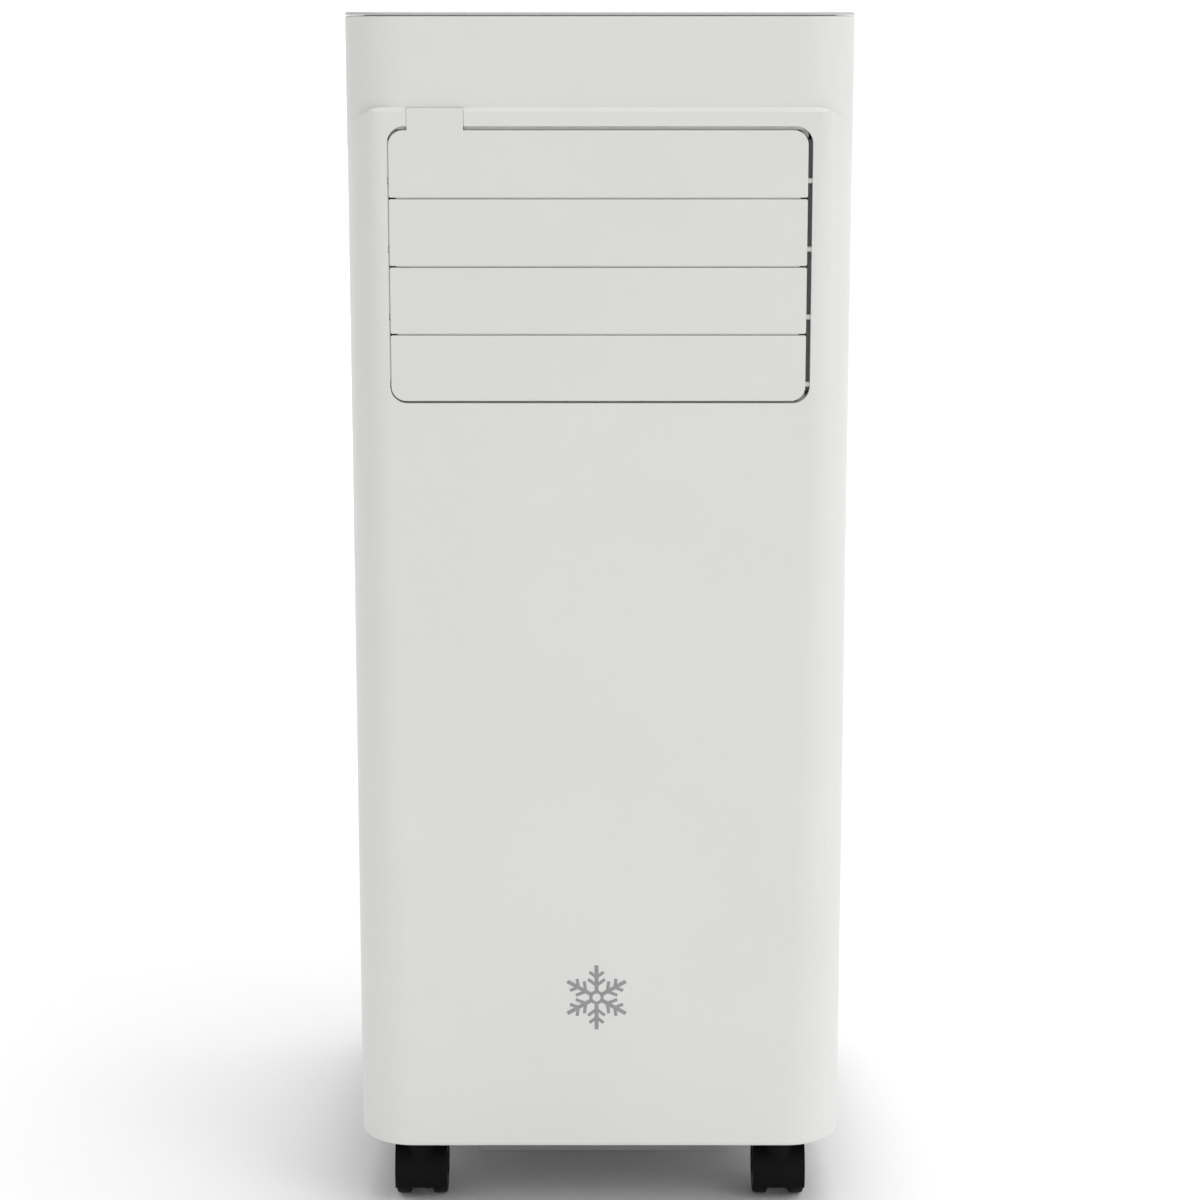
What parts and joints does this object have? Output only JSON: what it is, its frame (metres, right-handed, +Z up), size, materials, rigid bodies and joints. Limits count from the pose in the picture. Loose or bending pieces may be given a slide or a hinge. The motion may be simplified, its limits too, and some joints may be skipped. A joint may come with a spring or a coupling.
{
  "type": "portable air conditioner",
  "caption": "White floor-standing portable air conditioner tower with a hinged-slat louvre, rear intake grilles, a round hot-air collar and twin-wheel castors.",
  "frame": {"origin": "on the floor, under the middle of the bounding box", "axes": "+Z up, +Y to the back (the louvre faces -Y), +X to the right as seen from the front"},
  "size_m": [0.282, 0.326, 0.7],
  "materials": {
    "white_plastic": "fine satin, slightly warm white",
    "grey_plastic": "satin grey moulding",
    "foam_plastic": "dull pale foam moulding",
    "black_plastic": "satin black moulding",
    "castor_nylon": "smooth black nylon",
    "black_gloss": "glossy black",
    "display": "smoked gloss window",
    "button_plastic": "satin pale grey",
    "circuit_board": "green lacquer",
    "coil_aluminium": "thin satin fins",
    "motor_steel": "zinc plated",
    "compressor_black": "semi-gloss black paint",
    "black_rubber": "matt black rubber",
    "copper": "drawn copper tube",
    "screw_steel": "plated steel",
    "filter_mesh": "fine dark mesh"
  },
  "bodies": {
    "casing": {"base_pan": "grey_plastic", "front_shell": "white_plastic", "rear_shell": "white_plastic", "top_cover": "white_plastic", "control_fascia": "black_gloss", "display_lens": "display", "control_board": "circuit_board", "discharge_duct": "grey_plastic", "evaporator_coil": "coil_aluminium", "evaporator_scroll": "foam_plastic", "evaporator_motor": "motor_steel", "drip_tray": "foam_plastic", "condenser_coil": "coil_aluminium", "condenser_scroll": "grey_plastic", "condenser_motor": "motor_steel", "compressor": "compressor_black", "compressor_grommets": "black_rubber", "refrigerant_pipes": "copper", "power_box": "grey_plastic", "splash_motor": "motor_steel", "exhaust_collar": "white_plastic", "lower_grille": "white_plastic", "cord_gland": "black_plastic", "side_handle_left": "white_plastic", "side_handle_right": "white_plastic", "case_screws": "screw_steel"},
    "slat_1": {"slat_1": "white_plastic"},
    "slat_2": {"slat_2": "white_plastic"},
    "slat_3": {"slat_3": "white_plastic"},
    "slat_4": {"slat_4": "white_plastic"},
    "slat_link": {"slat_link": "grey_plastic"},
    "vane_1": {"vane_1": "grey_plastic"},
    "vane_2": {"vane_2": "grey_plastic"},
    "vane_3": {"vane_3": "grey_plastic"},
    "vane_4": {"vane_4": "grey_plastic"},
    "vane_link": {"vane_link": "grey_plastic"},
    "evaporator_fan": {"evaporator_fan": "black_plastic"},
    "condenser_fan": {"condenser_fan": "black_plastic"},
    "splash_wheel": {"splash_wheel": "grey_plastic"},
    "button_power": {"button_power": "button_plastic"},
    "button_mode": {"button_mode": "button_plastic"},
    "button_fan": {"button_fan": "button_plastic"},
    "button_timer": {"button_timer": "button_plastic"},
    "button_cooler": {"button_cooler": "button_plastic"},
    "button_warmer": {"button_warmer": "button_plastic"},
    "intake_door": {"upper_grille": "white_plastic", "air_filter": "filter_mesh"},
    "drain_plug": {"drain_plug": "black_rubber"},
    "castor_front_left_fork": {"castor_front_left_hood": "black_plastic"},
    "castor_front_left_wheelset": {"castor_front_left_wheels": "castor_nylon", "castor_front_left_axle": "screw_steel"},
    "castor_front_right_fork": {"castor_front_right_hood": "black_plastic"},
    "castor_front_right_wheelset": {"castor_front_right_wheels": "castor_nylon", "castor_front_right_axle": "screw_steel"},
    "castor_rear_left_fork": {"castor_rear_left_hood": "black_plastic"},
    "castor_rear_left_wheelset": {"castor_rear_left_wheels": "castor_nylon", "castor_rear_left_axle": "screw_steel"},
    "castor_rear_right_fork": {"castor_rear_right_hood": "black_plastic"},
    "castor_rear_right_wheelset": {"castor_rear_right_wheels": "castor_nylon", "castor_rear_right_axle": "screw_steel"}
  },
  "joints": [
    {"name": "slat_1_tilt", "type": "hinge", "parent": "casing", "child": "slat_1", "pos_m": [0, -0.16, 0.6092], "axis": [1, 0, 0], "range_deg": [0, 70]},
    {"name": "slat_2_tilt", "type": "hinge", "parent": "casing", "child": "slat_2", "pos_m": [0, -0.16, 0.5718], "axis": [1, 0, 0], "range_deg": [0, 70]},
    {"name": "slat_3_tilt", "type": "hinge", "parent": "casing", "child": "slat_3", "pos_m": [0, -0.16, 0.5344], "axis": [1, 0, 0], "range_deg": [0, 70]},
    {"name": "slat_4_tilt", "type": "hinge", "parent": "casing", "child": "slat_4", "pos_m": [0, -0.16, 0.497], "axis": [1, 0, 0], "range_deg": [0, 70]},
    {"name": "slat_link_turn", "type": "hinge", "parent": "slat_1", "child": "slat_link", "pos_m": [0.1144, -0.1502, 0.6023], "axis": [1, 0, 0], "range_deg": [-70, 0]},
    {"name": "vane_1_swing", "type": "hinge", "parent": "casing", "child": "vane_1", "pos_m": [-0.084, -0.114, 0.561], "axis": [0, 0, 1], "range_deg": [-35, 35]},
    {"name": "vane_2_swing", "type": "hinge", "parent": "casing", "child": "vane_2", "pos_m": [-0.028, -0.114, 0.561], "axis": [0, 0, 1], "range_deg": [-35, 35]},
    {"name": "vane_3_swing", "type": "hinge", "parent": "casing", "child": "vane_3", "pos_m": [0.028, -0.114, 0.561], "axis": [0, 0, 1], "range_deg": [-35, 35]},
    {"name": "vane_4_swing", "type": "hinge", "parent": "casing", "child": "vane_4", "pos_m": [0.084, -0.114, 0.561], "axis": [0, 0, 1], "range_deg": [-35, 35]},
    {"name": "vane_link_turn", "type": "hinge", "parent": "vane_1", "child": "vane_link", "pos_m": [-0.084, -0.1, 0.6296], "axis": [0, 0, 1], "range_deg": [-35, 35]},
    {"name": "evaporator_fan_spin", "type": "hinge", "parent": "casing", "child": "evaporator_fan", "pos_m": [0, 0.06, 0.54], "axis": [0, 1, 0], "continuous": true},
    {"name": "condenser_fan_spin", "type": "hinge", "parent": "casing", "child": "condenser_fan", "pos_m": [0, 0.07, 0.175], "axis": [0, 1, 0], "continuous": true},
    {"name": "splash_wheel_spin", "type": "hinge", "parent": "casing", "child": "splash_wheel", "pos_m": [0, 0.122, 0.074], "axis": [1, 0, 0], "continuous": true},
    {"name": "button_power_press", "type": "slide", "parent": "casing", "child": "button_power", "axis": [0, 0, -1], "range_m": [0, 0.0008], "stiffness_N_per_m": 400, "springref_m": -0.0001},
    {"name": "button_mode_press", "type": "slide", "parent": "casing", "child": "button_mode", "axis": [0, 0, -1], "range_m": [0, 0.0008], "stiffness_N_per_m": 400, "springref_m": -0.0001},
    {"name": "button_fan_press", "type": "slide", "parent": "casing", "child": "button_fan", "axis": [0, 0, -1], "range_m": [0, 0.0008], "stiffness_N_per_m": 400, "springref_m": -0.0001},
    {"name": "button_timer_press", "type": "slide", "parent": "casing", "child": "button_timer", "axis": [0, 0, -1], "range_m": [0, 0.0008], "stiffness_N_per_m": 400, "springref_m": -0.0001},
    {"name": "button_cooler_press", "type": "slide", "parent": "casing", "child": "button_cooler", "axis": [0, 0, -1], "range_m": [0, 0.0008], "stiffness_N_per_m": 400, "springref_m": -0.0001},
    {"name": "button_warmer_press", "type": "slide", "parent": "casing", "child": "button_warmer", "axis": [0, 0, -1], "range_m": [0, 0.0008], "stiffness_N_per_m": 400, "springref_m": -0.0001},
    {"name": "intake_door_open", "type": "hinge", "parent": "casing", "child": "intake_door", "pos_m": [0, 0.153, 0.4345], "axis": [-1, 0, 0], "range_deg": [0, 50]},
    {"name": "drain_plug_pull", "type": "slide", "parent": "casing", "child": "drain_plug", "axis": [0, 1, 0], "range_m": [0, 0.02]},
    {"name": "castor_front_left_swivel", "type": "hinge", "parent": "casing", "child": "castor_front_left_fork", "pos_m": [-0.107, -0.125, 0.06], "axis": [0, 0, 1], "continuous": true},
    {"name": "castor_front_left_roll", "type": "hinge", "parent": "castor_front_left_fork", "child": "castor_front_left_wheelset", "pos_m": [-0.107, -0.113, 0.019], "axis": [1, 0, 0], "continuous": true},
    {"name": "castor_front_right_swivel", "type": "hinge", "parent": "casing", "child": "castor_front_right_fork", "pos_m": [0.107, -0.125, 0.06], "axis": [0, 0, 1], "continuous": true},
    {"name": "castor_front_right_roll", "type": "hinge", "parent": "castor_front_right_fork", "child": "castor_front_right_wheelset", "pos_m": [0.107, -0.113, 0.019], "axis": [1, 0, 0], "continuous": true},
    {"name": "castor_rear_left_swivel", "type": "hinge", "parent": "casing", "child": "castor_rear_left_fork", "pos_m": [-0.107, 0.1, 0.06], "axis": [0, 0, 1], "continuous": true},
    {"name": "castor_rear_left_roll", "type": "hinge", "parent": "castor_rear_left_fork", "child": "castor_rear_left_wheelset", "pos_m": [-0.107, 0.112, 0.019], "axis": [1, 0, 0], "continuous": true},
    {"name": "castor_rear_right_swivel", "type": "hinge", "parent": "casing", "child": "castor_rear_right_fork", "pos_m": [0.107, 0.1, 0.06], "axis": [0, 0, 1], "continuous": true},
    {"name": "castor_rear_right_roll", "type": "hinge", "parent": "castor_rear_right_fork", "child": "castor_rear_right_wheelset", "pos_m": [0.107, 0.112, 0.019], "axis": [1, 0, 0], "continuous": true}
  ],
  "couplings": [
    {"joint": "slat_2_tilt", "follows": "slat_1_tilt", "ratio": 1},
    {"joint": "slat_3_tilt", "follows": "slat_1_tilt", "ratio": 1},
    {"joint": "slat_4_tilt", "follows": "slat_1_tilt", "ratio": 1},
    {"joint": "slat_link_turn", "follows": "slat_1_tilt", "ratio": -1},
    {"joint": "vane_2_swing", "follows": "vane_1_swing", "ratio": 1},
    {"joint": "vane_3_swing", "follows": "vane_1_swing", "ratio": 1},
    {"joint": "vane_4_swing", "follows": "vane_1_swing", "ratio": 1},
    {"joint": "vane_link_turn", "follows": "vane_1_swing", "ratio": -1}
  ]
}
